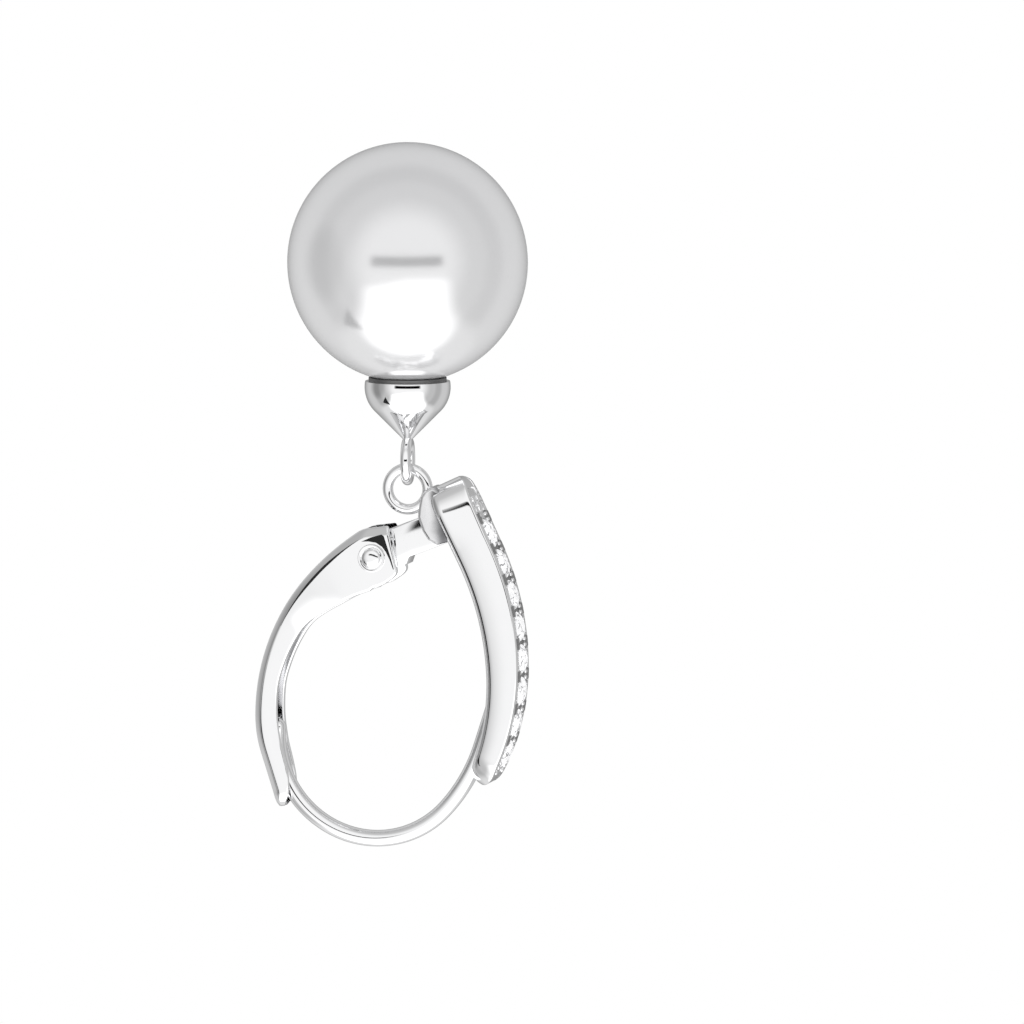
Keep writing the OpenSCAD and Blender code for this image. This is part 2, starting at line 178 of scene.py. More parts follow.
# %% Outlines and plates
def rounded(outline, radii, steps=4):
    """A closed 2D outline with each corner replaced by an arc of its own radius."""
    result = []
    n = len(outline)
    for i, p in enumerate(outline):
        r = radii[i]
        p = Vector(p)
        a, b = Vector(outline[i - 1]) - p, Vector(outline[(i + 1) % n]) - p
        room = 0.45 * min(a.length, b.length)
        if r <= 0 or room < 1e-6:
            result += [tuple(p)] * (steps + 1)
            continue
        a.normalize()
        b.normalize()
        half = acos(max(-1, min(1, a.dot(b)))) / 2
        cut = min(r / tan(half), room)
        for k in range(steps + 1):
            t = k / steps
            result.append(tuple(p + a * cut * (1 - t) ** 2 + b * cut * t ** 2))
    return result


def plate(name, outline, thickness, place, round_edge=0.05):
    """A flat outline given a thickness, with rounded rims."""
    work = bmesh.new()
    face = work.faces.new([work.verts.new((x, y, -thickness / 2)) for x, y in outline])
    top = bmesh.ops.extrude_face_region(work, geom=[face])
    moved = [v for v in top["geom"] if isinstance(v, bmesh.types.BMVert)]
    bmesh.ops.translate(work, verts=moved, vec=(0, 0, thickness))
    rims = [e for e in work.edges if abs(e.verts[0].co.z - e.verts[1].co.z) < 1e-6]
    bmesh.ops.bevel(work, geom=rims, offset=round_edge, segments=3, profile=0.5, affect="EDGES",
                    clamp_overlap=True)
    bmesh.ops.recalc_face_normals(work, faces=work.faces)
    for v in work.verts:
        v.co = place(v.co.copy())
    mesh = bpy.data.meshes.new(name)
    work.to_mesh(mesh)
    work.free()
    return new_piece(name, mesh)


# %% [markdown]
# ## The bar's curve
# Seen from the side the bar is straight at its lower end, swells forward in a long arc, and curves back
# to its nose under the ear wire. It was bent over a former from one casting, so every section stays square
# to the front curve. The ends are round when seen from the front.

# %% Bar curve
def lean_at(s):
    if s < STRAIGHT:
        return LEAN
    return degrees((TURN - s) / (R_LOW if s < TURN else R_HIGH))


def bar_at(s):
    lean = radians(lean_at(s))
    r = R_LOW if lean > 0 else R_HIGH
    below = max(0.0, STRAIGHT - s)
    y = -BAR_F + r * (1 - cos(lean)) + below * sin(radians(LEAN))
    z = -BAR_B - r * sin(lean) - below * cos(radians(LEAN))
    return y, z, lean


def on_bar(s, x, out):
    """A point on the bar: s along the front curve, x across, out in front of it."""
    y, z, lean = bar_at(s)
    return Vector((x, y - out * cos(lean), z - out * sin(lean)))


def rise(t, reach):
    """How far a round end has opened at t, from 0 to 1 over its reach."""
    return 1.0 if t >= reach else sqrt(max(0.0, 1 - ((reach - t) / reach) ** 2))


def bar_half_w(s):
    return BAR_W / 2 * min(rise(s, BAR_END), rise(BAR_L - s, BAR_END))


def bar_depth(s):
    return DEEP_LOW - (DEEP_LOW - DEEP_HIGH) * (s / BAR_L) ** 2


print("bar", round(bar_depth(0), 2), "mm deep below and", round(bar_depth(BAR_L), 2), "mm above")

# %% [markdown]
# ## Surfaces as sums
# Every material here is worked out by nodes, so it needs no picture and fits at any distance. One small
# class wraps a shader socket, so that the maths of a surface reads as a plain expression. A second one holds
# a material and adds its nodes.

# %% Shader sockets
class Socket:
    """A shader socket that can be used in sums, products and powers."""

    def __init__(self, surface, socket):
        self.surface = surface
        self.socket = socket

    def math(self, how, other=0.0, swap=False):
        a, b = (other, self) if swap else (self, other)
        return self.surface.node("ShaderNodeMath", {"operation": how}, {0: a, 1: b})

    def __add__(self, other):
        return self.math("ADD", other)

    def __radd__(self, other):
        return self.math("ADD", other, True)

    def __sub__(self, other):
        return self.math("SUBTRACT", other)

    def __rsub__(self, other):
        return self.math("SUBTRACT", other, True)

    def __mul__(self, other):
        return self.math("MULTIPLY", other)

    def __rmul__(self, other):
        return self.math("MULTIPLY", other, True)

    def __truediv__(self, other):
        return self.math("DIVIDE", other)

    def __rtruediv__(self, other):
        return self.math("DIVIDE", other, True)

    def __pow__(self, other):
        return self.math("POWER", other)

    def __rpow__(self, other):
        return self.math("POWER", other, True)

    def limit(self, low, high):
        return self.math("MAXIMUM", low).math("MINIMUM", high)


# %% Surfaces
class Surface:
    """A material and its node tree."""

    def __init__(self, name):
        self.material = bpy.data.materials.new(name)
        self.material.use_nodes = True
        self.tree = self.material.node_tree
        self.shader = self.tree.nodes["Principled BSDF"]
        self.place = self.node("ShaderNodeTexCoord", out="Object")

    def put(self, target, value):
        if isinstance(value, Socket):
            self.tree.links.new(value.socket, target)
        else:
            target.default_value = value

    def node(self, kind, settings=None, sockets=None, out=0):
        """Any node: its type, its settings, its sockets' values or links, and the output that is used."""
        made = self.tree.nodes.new(kind)
        for key, value in (settings or {}).items():
            setattr(made, key, value)
        for key, value in (sockets or {}).items():
            self.put(made.inputs[key], value)
        return Socket(self, made.outputs[out])

    def noise(self, scale, detail=2.0, stretch=(1, 1, 1)):
        spot = self.node("ShaderNodeMapping", None, {"Vector": self.place, "Scale": stretch})
        return self.node("ShaderNodeTexNoise", None, {"Vector": spot, "Scale": scale, "Detail": detail})

    def mix(self, amount, a, b):
        """A colour between a and b."""
        colours = {0: amount, 6: (*a, 1), 7: (*b, 1)}
        return self.node("ShaderNodeMix", {"data_type": "RGBA"}, colours, out=2)

    def fade(self, value, low, top):
        """0 below low, 1 above top, soft between."""
        return self.node("ShaderNodeMapRange", {"interpolation_type": "SMOOTHSTEP"},
                         {"Value": value, "From Min": low, "From Max": top})

    def bump(self, height, strength, distance):
        sockets = {"Height": height, "Strength": strength, "Distance": distance}
        return self.node("ShaderNodeBump", None, sockets)

    def set(self, **values):
        for key, value in values.items():
            self.put(self.shader.inputs[key.replace("_", " ")], value)
        return self.material


# %% [markdown]
# ## Silver
# Polished silver is nearly white and mirrors nearly everything. What tells it from chrome are faint
# polishing lines and an uneven gloss, so both are laid over one metal: a cloudy noise for the gloss, a
# stretched fine one for the lines. The same recipe gives the drawn wire with less of both, and the cut
# silver between the stones, which the wheel never reached, with more, made dark as painted shade. Behind
# the bar the solder joint darkens into its corner with painted shade.

# %% Silver
def silver(name, tone=0.94, gloss=0.05, wear=0.05, ripple=0.05):
    s = Surface(name)
    cloud = s.noise(700.0, 3.0)
    lines = s.noise(5200.0, 4.0, stretch=(1, 1, 0.12))
    shade = s.mix(cloud, (tone, tone, tone * 1.005), (tone * 0.965, tone * 0.967, tone * 0.975))
    rough = (gloss + wear * cloud * cloud + 0.03 * lines).limit(0.02, 0.6)
    grain = s.bump(cloud * 0.7 + lines * 0.3, ripple, 4e-6)
    return s.set(Base_Color=shade, Metallic=1.0, Roughness=rough, Normal=grain)


def joint_painted_shade():
    """Silver with painted shade, darker towards the corner behind the bar."""
    s = Surface("joint_painted_shade")
    depth = s.node("ShaderNodeSeparateXYZ", None, {"Vector": s.place}, out="Y")
    cloud = s.noise(1500.0, 3.0)
    # Painted shade: darker towards the bar along Y, where the joint's hollow lies in shade.
    painted_corner_shade = 1 - s.fade(depth + 0.0003 * cloud, -0.00345, -0.0026)
    shade = s.mix(painted_corner_shade, (0.9, 0.9, 0.91), (0.13, 0.13, 0.135))
    rough = 0.1 + 0.15 * cloud
    return s.set(Base_Color=shade, Metallic=1.0, Roughness=rough, Normal=s.bump(cloud, 0.3, 4e-6))


POLISHED = silver("polished_silver", gloss=0.035)
DRAWN = silver("drawn_silver", gloss=0.02, wear=0.03, ripple=0.03)
BRIGHT_CUT = silver("bright_cut_silver", tone=0.9, gloss=0.12, wear=0.2, ripple=0.8)
# Painted shade: the cut silver between and beside the stones is made dark to stand for the shade there.
SHADED_CUT = silver("shaded_cut_silver", tone=0.3, gloss=0.2, wear=0.25, ripple=0.6)
SHADED = silver("shaded_silver", tone=0.2, gloss=0.4, wear=0.2, ripple=0.2)
# Painted shadow: near-black silver for the lines and corners on the lever where shade falls.
CREASE_SHADOW = silver("painted_crease_shadow", tone=0.03, gloss=0.5, wear=0.2, ripple=0.2)
PAINTED_JOINT_SHADE = joint_painted_shade()

# %% [markdown]
# ## Pearl and stone
# The pearl has a milky body that mirrors a little through a soft skin: half a metal gives that sheen, and
# a thin coat the clear top. The stones are clear, with a very high refraction. At this size a real path of
# light through them is only noise, so each facet gets a painted glint of its own by its direction, the
# facets seen through the table are painted as dark strokes, and the stones glow faintly with painted light.

# %% Pearl and stone
def pearl_skin():
    s = Surface("pearl_lustre")
    cloud = s.noise(160.0, 3.0)
    grain = s.noise(2600.0, 2.0)
    body = s.mix(cloud, (0.87, 0.87, 0.88), (0.84, 0.84, 0.845))
    s.set(Base_Color=body, Roughness=0.135 + 0.05 * grain, Metallic=0.42 + 0.05 * cloud)
    return s.set(Coat_Weight=0.15, Coat_Roughness=0.1, Normal=s.bump(grain, 0.03, 5e-6))


def stone_glass():
    s = Surface("clear_stone_painted_glints")
    facing = s.node("ShaderNodeTexCoord", out="Normal")
    facet = s.node("ShaderNodeVectorMath", {"operation": "SNAP"}, {0: facing, 1: (0.07, 0.07, 0.07)})
    painted_glint = s.node("ShaderNodeTexWhiteNoise", None, {"Vector": facet})
    cells = {"Vector": s.place, "Scale": 3400.0}
    inner = s.node("ShaderNodeTexVoronoi", {"feature": "DISTANCE_TO_EDGE"}, cells)
    painted_dark_strokes = s.fade(inner, 0.03, 0.09) + s.fade(s.noise(4200.0, 1.0), 0.42, 0.52)
    # Painted light and reflection: a glint per facet by its direction, cut by painted dark strokes for the
    # facets inside.
    light = (0.82 + 0.18 * painted_glint) * painted_dark_strokes.limit(0.12, 1.0)
    painted_facet_tint = s.mix(light, (0.05, 0.05, 0.06), (1.0, 1.0, 1.0))
    # Painted glow: the stones shine a little on their own, though they are no lamp.
    painted_glow = s.mix(light, (0.0, 0.0, 0.0), (0.3, 0.3, 0.305))
    s.set(Base_Color=painted_facet_tint, Roughness=0.004, IOR=2.15, Transmission_Weight=0.1)
    return s.set(Emission_Color=painted_glow, Emission_Strength=1.0)


PEARL = pearl_skin()
STONE = stone_glass()
print("finishes:", ", ".join(m.name for m in bpy.data.materials))


def dress(piece, body, material, replaces=()):
    """Gives a piece its finish and ties it to the solid model."""
    piece.data.materials.clear()
    piece.data.materials.append(material)
    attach(piece, body)
    for node in replaces:
        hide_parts(node)
    return piece


# %% [markdown]
# ## Front bar
# The bar is a casting with gently bulging sides and a round back. Its front edges are cut back at an angle,
# so that light catches the row of stones first. A deep trough down the middle takes the stones' points.
# It is one skin over sections square to the front curve. A bevel modifier couldn't change from place to
# place as this edge does: near the lower end the bulge fades and the front rounds in.

# %% Bar sections
TROUGH_W, RIM_W, CUT, BULGE, FRONT_IN = 0.78, 1.05, 0.11, 0.09, 0.06
TROUGH, NO_TROUGH = 0.86, 0.01
FRONT_TURN, BACK_FROM = radians(88), radians(12)


def half_section(hw, f, top, deep, trough, plain):
    """Half a section as (across, out), from the trough over the rim and down the side to the back."""
    height = deep + top
    cut, r = min(CUT * f, height * 0.25), min(BACK_ROUND, hw * 0.8, height * 0.4)
    rim, bulge, front_in = RIM_W * f, BULGE * f * plain, FRONT_IN * (1 - plain)
    half = [(TROUGH_W * f, top - trough), (TROUGH_W * f, top), (rim, top)]
    for k in range(1, 6):
        a = FRONT_TURN * k / 5
        half.append((rim + (hw - front_in - rim) * sin(a), top - cut * (1 - cos(a))))
    side_top, side_low = half[-1][1], -deep + r
    for k in range(1, 12):
        t = k / 12
        half.append((hw - bulge * t ** 2.4 - front_in * (1 - t), side_top + (side_low - side_top) * t))
    for k in range(9):
        a = BACK_FROM + (pi / 2 - BACK_FROM) * k / 8
        inward, drop = r * cos(a) / cos(BACK_FROM), r * (sin(a) - sin(BACK_FROM)) / (1 - sin(BACK_FROM))
        half.append((hw - bulge - r + inward, -deep + r - drop))
    return half + [(hw * 0.2, -deep - 0.03 * f)]


def bar_ring(s, trough):
    hw = bar_half_w(s)
    nose = bar_depth(s) / 2 * (1 - rise(BAR_L - s, NOSE_END))
    top = -(0.4 * (1 - rise(s, 0.6)) + nose)
    deep = bar_depth(s) - 0.3 * (1 - rise(s, 0.3)) - nose
    plain = min(1.0, max(0.0, (s - 1.0) / 2.4))
    half = half_section(hw, hw / (BAR_W / 2), top, deep, trough, plain)
    return [on_bar(s, x, q) for x, q in half + [(-x, q) for x, q in half[::-1]]]


# %% Front bar
def bar_stations():
    ends = [BAR_END * (1 - cos(radians(90 * i / 26))) for i in range(1, 26)]
    middle = [BAR_END + (BAR_L - 2 * BAR_END) * i / 110 for i in range(111)]
    return ends + middle + [BAR_L - e for e in ends[::-1]]


def bar_rings():
    """Sections along the bar, doubled where the trough starts and ends, so that its end walls stand up."""
    rings, last = [], 0.0
    for s in bar_stations():
        for edge in CHANNEL:
            if last < edge <= s:
                before, after = (NO_TROUGH, TROUGH) if edge == CHANNEL[0] else (TROUGH, NO_TROUGH)
                rings += [bar_ring(edge - 0.002, before), bar_ring(edge + 0.002, after)]
        rings.append(bar_ring(s, TROUGH if CHANNEL[0] < s < CHANNEL[1] else NO_TROUGH))
        last = s
    return rings


front_bar = skin("front_bar", bar_rings(), sharp=38)
dress(front_bar, "hoop", POLISHED, ["hoop"])
print("front bar", len(front_bar.data.polygons), "faces")

# %% [markdown]
# ## Bridges and pads
# Between two stones the jeweller leaves a bridge, hollowed on both sides by the round seats. At both ends
# of the row a pad of metal fills the trough, hollowed on one side only. Real seats are drilled. Here each
# bridge is built straight from its outline, so no cut can leave slivers, and its edge gets a small bevel.

# %% Bridges and pads
SEAT_R, BRIDGE_TOP, BRIDGE_LOW = 0.775, -0.04, -0.8


def bridge_part(s0, low_seat, high_seat, reach=0.0):
    """A block in the trough round s0, hollowed by the seats on its two sides or flat at its reach."""
    steps = 10
    xs = [-TROUGH_W + 2 * TROUGH_W * k / steps for k in range(steps + 1)]

    def edge(x, seat, sign):
        if not seat:
            return sign * reach
        inside = max(0.0, SEAT_R ** 2 - min(abs(x), SEAT_R) ** 2)
        return sign * (PITCH / 2 - sqrt(inside))

    plan = [(x, edge(x, low_seat, -1)) for x in xs] + [(x, edge(x, high_seat, 1)) for x in xs[::-1]]
    rings = []
    for out, share in ((BRIDGE_LOW, 1.0), (BRIDGE_TOP - 0.05, 1.0), (BRIDGE_TOP, 0.93)):
        rings.append([on_bar(s0 + v * (share if abs(v) > 0.2 else 1), x * share, out) for x, v in plan])
    return ring_part(rings)


def between(i):
    """The place below stone i, counted from 0, halfway to the one before it."""
    return FIRST + (i - 0.5) * PITCH


bridges = [bridge_part(between(i), True, True) for i in range(1, STONES)]
seat_bridges = join_parts("seat_bridges", bridges, sharp=30)
# The bridges' dark tone is painted shade.
dress(seat_bridges, "hoop", SHADED_CUT)

low_end, high_end = between(0), between(STONES)
low_pad = join_parts("low_pad", [bridge_part(low_end, False, True, low_end - CHANNEL[0])], sharp=30)
dress(low_pad, "hoop", BRIGHT_CUT)
top_pad = join_parts("top_pad", [bridge_part(high_end, True, False, CHANNEL[1] - high_end)], sharp=30)
dress(top_pad, "hoop", POLISHED)
print("bridges", len(bridges), "and two pads")

# %% [markdown]
# ## Saddles
# Seen from the side, the row of stones is broken by dark blocks on both rims: the metal between two prongs,
# cut down, its darkness painted shade. Each is a low block with a rounded outline whose top draws in.

# %% Saddles
SADDLE_HALF, SADDLE_IN, SADDLE_OUT = 0.3, 0.48, 1.04
SADDLE_LEVELS = [(-0.3, 1.0), (-0.02, 1.0), (0.02, 0.95), (0.035, 0.86), (0.04, 0.6)]


def saddle_part(s0, side):
    ends = [(SADDLE_IN, -1), (SADDLE_OUT, -1), (SADDLE_OUT, 1), (SADDLE_IN, 1)]
    plan = rounded([(x, v * SADDLE_HALF) for x, v in ends], [0.06] * 4, 3)
    middle = (SADDLE_IN + SADDLE_OUT) / 2
    rings = []
    for out, share in SADDLE_LEVELS:
        rings.append([on_bar(s0 + v * share, side * (middle + (x - middle) * share), out) for x, v in plan])
    return ring_part(rings)


saddles = [saddle_part(between(i), side) for i in range(STONES) for side in (1, -1)]
rim_saddles = join_parts("rim_saddles", saddles, sharp=40)
dress(rim_saddles, "hoop", SHADED_CUT)
print("saddles", len(saddles))

# %% [markdown]
# ## Beads
# The jeweller raises four small beads between two stones and pushes them over the stones' edges. A fine
# knurled line of beads, the milgrain, runs down both rims, and five larger ones end the row below. Instances
# of one ball would be lighter, but each kind as one mesh is what the real thing is: beads cut from the bar.

# %% Beads
PRONG_R, PRONG_X, PRONG_GAP, PRONG_FLAT = 0.135, 0.58, 0.15, 0.8
PAD_BEADS = [(1.78, 0, 0.3), (1.35, 0.42, 0.2), (1.35, -0.42, 0.2), (1.9, 0.62, 0.2), (1.9, -0.62, 0.2)]
GRAIN_R, GRAIN_X, GRAIN_STEP, GRAIN_FROM = 0.05, 0.85, 0.22, 1.0


def bead_part(s, x, out, r, flat, steps=10):
    """A small round bead on the bar; flat squeezes it towards the bar."""
    centre = on_bar(s, x, out)
    away = (on_bar(s, 0, 1) - on_bar(s, 0, 0)).normalized()
    side = Vector((1, 0, 0))
    along = away.cross(side)
    profile = [(r * sin(pi * k / steps), -r * flat * cos(pi * k / steps)) for k in range(steps + 1)]
    return ring_part(lathe_rings(profile, 12, lambda p: centre + p.x * side + p.y * along + p.z * away))


prongs = []
for i in range(STONES + 1):
    for x in (-PRONG_X, PRONG_X):
        for v in (-PRONG_GAP, PRONG_GAP):
            prongs.append(bead_part(between(i) + v, x, BRIDGE_TOP, PRONG_R, PRONG_FLAT))
prongs += [bead_part(s, x, BRIDGE_TOP, r, 0.7) for s, x, r in PAD_BEADS]
prong_beads = join_parts("prong_beads", prongs)
dress(prong_beads, "hoop", POLISHED)

grains = []
for k in range(int((CHANNEL[1] + 0.1 - GRAIN_FROM) / GRAIN_STEP)):
    for x in (-GRAIN_X, GRAIN_X):
        grains.append(bead_part(GRAIN_FROM + GRAIN_STEP * k, x, -0.012, GRAIN_R, 0.9, steps=6))
milgrain_rows = join_parts("milgrain_rows", grains)
dress(milgrain_rows, "hoop", POLISHED)
print("prongs and pad beads", len(prongs), "milgrain beads", len(grains))

# %% [markdown]
# ## Stones
# The stones keep the solid model's facets: a table, crown, girdle and pavilion. Facets are flat on purpose,
# so nothing about their shape could be bettered here. Only their material is set.

# %% Stones
for i in range(STONES):
    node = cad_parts["stone_%d" % (i + 1)]
    node.material_slots[0].link = "OBJECT"
    node.material_slots[0].material = STONE
print("stones dressed", STONES)

# %% [markdown]
# ## Ear wire
# The ear wire is drawn round wire, bent in two arcs, with a round free end for the ear. It is soldered into
# the back of the bar. A Blender curve with a round bevel would draw the same tube. Rings along the path are
# used because they also shrink to the round tip.

# %% Ear wire
TOP_R, TOP_SHIFT, TOP_FRONT, FRONT_R = 5.04, 0.2, 47.5, 8.8
WIRE_FROM, WIRE_TO, TAIL = 85, 252, 3.0


def arc_point(centre, r, turn):
    a = radians(turn)
    return 0, centre[0] + r * sin(a), centre[1] - r * cos(a)


top_c = (TOP_SHIFT, WIRE_R - TOP_R)
meet = radians(TOP_FRONT)
front_c = (top_c[0] - (TOP_R - FRONT_R) * sin(meet), top_c[1] + (TOP_R - FRONT_R) * cos(meet))
path = [arc_point(top_c, TOP_R, WIRE_FROM + (180 + TOP_FRONT - WIRE_FROM) * k / 120) for k in range(121)]
for k in range(1, 31):
    path.append(arc_point(front_c, FRONT_R, 180 + TOP_FRONT + (WIRE_TO - 180 - TOP_FRONT) * k / 30))
end = Vector(path[-1])
heading = Vector((0, cos(radians(WIRE_TO)), sin(radians(WIRE_TO))))
path += [tuple(end + heading * TAIL * k / 12) for k in range(1, 13)]
start = Vector(path[0])
back = (start - Vector(path[1])).normalized()
bends = [radians(a) for a in (88, 75, 60, 45, 30, 15)]
path = [tuple(start + back * WIRE_R * sin(a)) for a in bends] + path
radii = [WIRE_R * cos(a) for a in bends] + [WIRE_R] * (len(path) - len(bends))
ear_wire = skin("ear_wire", tube_rings(path, radii))
dress(ear_wire, "hoop", DRAWN)
print("ear wire", len(path), "rings")

# %% [markdown]
# ## Ring, hinge tab and its foot
# A little closed ring carries the drop, and a flat tab with a round nose carries the lever. Both are
# soldered on, and a small foot of solder joins the tab to the bar. The tab is sawn from sheet, so it is an
# outline with a thickness, in a frame of its own that starts at the rivet.

# %% Ring and tab
TAB_T, FOOT_T = 1.32, 1.5
SLOPE = radians(21.4 - 90)


def on_hinge(p):
    """x along the tab towards the bar, y across it, downward, z along the hinge."""
    y = p.y * cos(SLOPE) + p.x * sin(SLOPE)
    return Vector((p.z, y, HINGE_Z + p.y * sin(SLOPE) - p.x * cos(SLOPE)))


def on_ring(p):
    return Vector((p.z, p.x + RING_C[0], p.y + RING_C[1]))


drop_ring = join_parts("drop_ring", [wire_ring_part(RING_R, RING_WIRE, on_ring)])
dress(drop_ring, "hoop", DRAWN)

tab_outline = [(cos(radians(a)), sin(radians(a))) for a in range(150, 271, 12)]
tab_outline += [(1.45, -0.9), (1.7, -0.61), (4.0, -0.61), (4.0, 1.06), (1.25, 1.06), (1.25, 0.55), (0.5, 0.8)]
hinge_tab = plate("hinge_tab", tab_outline, TAB_T, on_hinge, 0.1)
dress(hinge_tab, "hoop", POLISHED)

FOOT = [(-2.6, -17.25), (-2.4, -16.95), (-2.3, -16.4), (-2.25, -15.9), (-2.5, -15.2), (-2.8, -14.75),
        (-3.25, -14.5), (-4.4, -14.9), (-3.9, -16.2), (-3.6, -17.2), (-3.0, -17.5)]
foot = rounded(FOOT, [0.3] * len(FOOT), 3)
tab_foot = plate("tab_foot", foot, FOOT_T, lambda p: Vector((p.z, p.x, p.y)), 0.2)
dress(tab_foot, "hoop", PAINTED_JOINT_SHADE)
print("ring %.2f mm wide, tab %.2f mm thick" % (2 * (RING_R + RING_WIRE), TAB_T))

# %% [markdown]
# ## Lever
# The lever is pressed from sheet into a channel that straddles the tab and the ear wire. Its spine has a
# bevel along both sides, which reads as a grey band beside the bright flat cheek. Its back edge is a chain
# of arcs, and a short table says how wide, tall and thick the channel is along it. That table is the
# drawing a toolmaker would work from, and its steps are smoothed, because pressed metal flows.

# %% Lever path
LEAD, TURN_R, START, LEVER_L = 1.0, 1.5, 8.0, 17.8
LEGS = [(TURN_R, 33.9, 0), (14.5, 48.6, 0), (10.55, 90.0, 0), (6.25, 107.8, 0), (0, 107.8, 2.6)]


def lever_at(s):
    """Point and heading on the lever's back edge, s from its hinge end."""
    first = radians(START)
    here = Vector((TURN_R * sin(first), HINGE_Z - TURN_R * cos(first)))
    run, heading = s - LEAD, START
    if run <= 0:
        return here + run * Vector((cos(first), sin(first))), heading
    for leg in LEGS:
        r, to, length = leg
        stretch = length if r == 0 else r * radians(to - heading)
        step = min(run, stretch) if leg != LEGS[-1] else run
        a = radians(heading)
        if r == 0:
            here = here + step * Vector((cos(a), sin(a)))
        else:
            b = a + step / r
            here = here + r * Vector((sin(b) - sin(a), cos(a) - cos(b)))
            heading = degrees(b)
        run -= step
        if run <= 1e-9:
            break
    return here, heading


# %% Lever table
# Each row: place along the back edge, cheek height, tilt in degrees, half width, thickness
ROWS = [
    (0, 2.4, 5, 1.12, 0.4), (0.2, 2.62, 4, 1.12, 0.4), (1, 3.05, 2, 1.12, 0.4), (1.35, 3.05, -12, 1.12, 0.4),
    (1.72, 3.02, -25, 1.12, 0.4), (2.8, 2.68, -23, 1.12, 0.4), (3.9, 2.36, -16, 1.1, 0.38),
    (5.2, 2.06, -6, 1.04, 0.34), (6.4, 1.78, 3, 0.96, 0.31), (7.4, 1.58, 13, 0.9, 0.3),
    (8.1, 1.48, 19, 0.86, 0.29), (9.7, 1.33, 18, 0.83, 0.28), (11.4, 1.16, 11, 0.82, 0.28),
    (12.4, 1.2, 6, 0.82, 0.28), (14, 1.26, -3, 0.82, 0.28), (16.2, 1.12, -6, 0.8, 0.27),
    (16.95, 0.98, -6, 0.7, 0.24), (17.5, 0.6, -10, 0.48, 0.16), (17.8, 0.3, -10, 0.24, 0.08),
]
TALL, TILT, HALF_W, THICK = 1, 2, 3, 4
TIP_FROM, TIP_ROUND, TIP_HALF = 15, 0.7, 0.8


def from_rows(at, column):
    for a, b in zip(ROWS, ROWS[1:]):
        if at <= b[0]:
            return a[column] + (b[column] - a[column]) * (max(at, a[0]) - a[0]) / (b[0] - a[0])
    return ROWS[-1][column]


def lever_row(s, column):
    """One column of the table at s, with the steps between rows smoothed over 1.2 mm."""
    reach = min(0.6, s * 0.5, (LEVER_L - s) * 0.8)
    return sum(from_rows(s + reach * k / 4, column) * (5 - abs(k)) for k in range(-4, 5)) / 25


def half_w(s):
    """Half the lever's width; the cheeks stay flat to the tip and round off only at its very end."""
    if s <= TIP_FROM:
        return lever_row(s, HALF_W)
    past = max(0.0, s - LEVER_L + TIP_ROUND) / TIP_ROUND
    return max(lever_row(s, HALF_W), TIP_HALF * sqrt(max(0.0, 1 - past ** 2)))


def bevel_at(s):
    return min(0.36 + 0.08 * max(0.0, 1 - s / 4), half_w(s) * 0.46, lever_row(s, TALL) * 0.4)


def lever_place(s, x, w):
    """A point on the section at s: x across the lever, w from its back edge down the cheek."""
    here, heading = lever_at(s)
    lean = radians(heading + 90 + lever_row(s, TILT))
    return Vector((x, here.x + w * cos(lean), here.y + w * sin(lean)))


print("lever", LEVER_L, "mm along its back, bevel %.2f mm at the hinge" % bevel_at(0))

# %% [markdown]
# ## Lever body
# Every section is the same channel with rounded corners. They are crisp at the hinge and softer towards
# the tip. The hinge end is drawn in over a few small rings, so it is rounded like the rest, and the room
# for the tab is milled out last.

# %% Lever body
END_ROUND, END_TURNS = 0.1, (0, 20, 40, 60, 80)
POCKET, POCKET_T = [(-0.2, -3), (3.8, -3), (3.8, 3), (-0.2, 3)], 1.47


def lever_ring(s, inset=0.0):
    tall, hw, t = lever_row(s, TALL) - inset, half_w(s) - inset, lever_row(s, THICK) - 2 * inset
    b = bevel_at(s)
    softer = min(1.0, max(0.0, s - 5.5) / 3.5)
    edge, soft = b * (0.15 + 0.7 * softer), min(0.13, t * 0.42)
    deep = min(0.28, tall * 0.5)
    outline = [(hw, tall), (hw, b), (hw - b * 0.8, inset), (b * 0.8 - hw, inset), (-hw, b), (-hw, tall),
               (t - hw, tall), (t - hw, deep), (hw - t, deep), (hw - t, tall)]
    outline = rounded(outline, [soft, edge, 0.5 * b, 0.5 * b, edge] + [soft] * 5, 5)
    return [lever_place(s, x, w) for x, w in outline]


def carve(piece, cutter):
    """Cuts the cutter's shape out of the piece, as a milling cut."""
    cut = piece.modifiers.new("cut", "BOOLEAN")
    cut.operation = "DIFFERENCE"
    cut.solver = "EXACT"
    cut.object = cutter
    graph = bpy.context.evaluated_depsgraph_get()
    result = bpy.data.meshes.new_from_object(piece.evaluated_get(graph))
    piece.modifiers.remove(cut)
    piece.data = result
    for face in result.polygons:
        face.use_smooth = True
    result.set_sharp_from_angle(angle=radians(35))
    bpy.data.objects.remove(cutter)


lever_rings = []
for turn in END_TURNS:
    a = radians(turn)
    lever_rings.append(lever_ring(END_ROUND * (1 - cos(a)), END_ROUND * (1 - sin(a))))
lever_rings += [lever_ring(END_ROUND + (LEVER_L - END_ROUND) * k / 200) for k in range(201)]
lever = skin("lever_body", lever_rings)
carve(lever, plate("pocket", POCKET, POCKET_T, on_hinge, 0.02))
dress(lever, "lever", POLISHED, ["lever"])
print("lever", len(lever.data.polygons), "faces")

# %% [markdown]
# ## Cheek creases
# Where the bevel meets the flat cheek the real lever has a fine dark line, and beside the rivet a dark
# corner. Both are shallow grooves that hold shadow. Carved so small they would vanish, so each is painted
# shadow: a sliver of dark metal that stands out by a hundredth of a millimetre.

# %% Cheek creases
CREASE_FROM, CREASE_TO, CREASE_HALF = 1.3, 8.2, 0.065
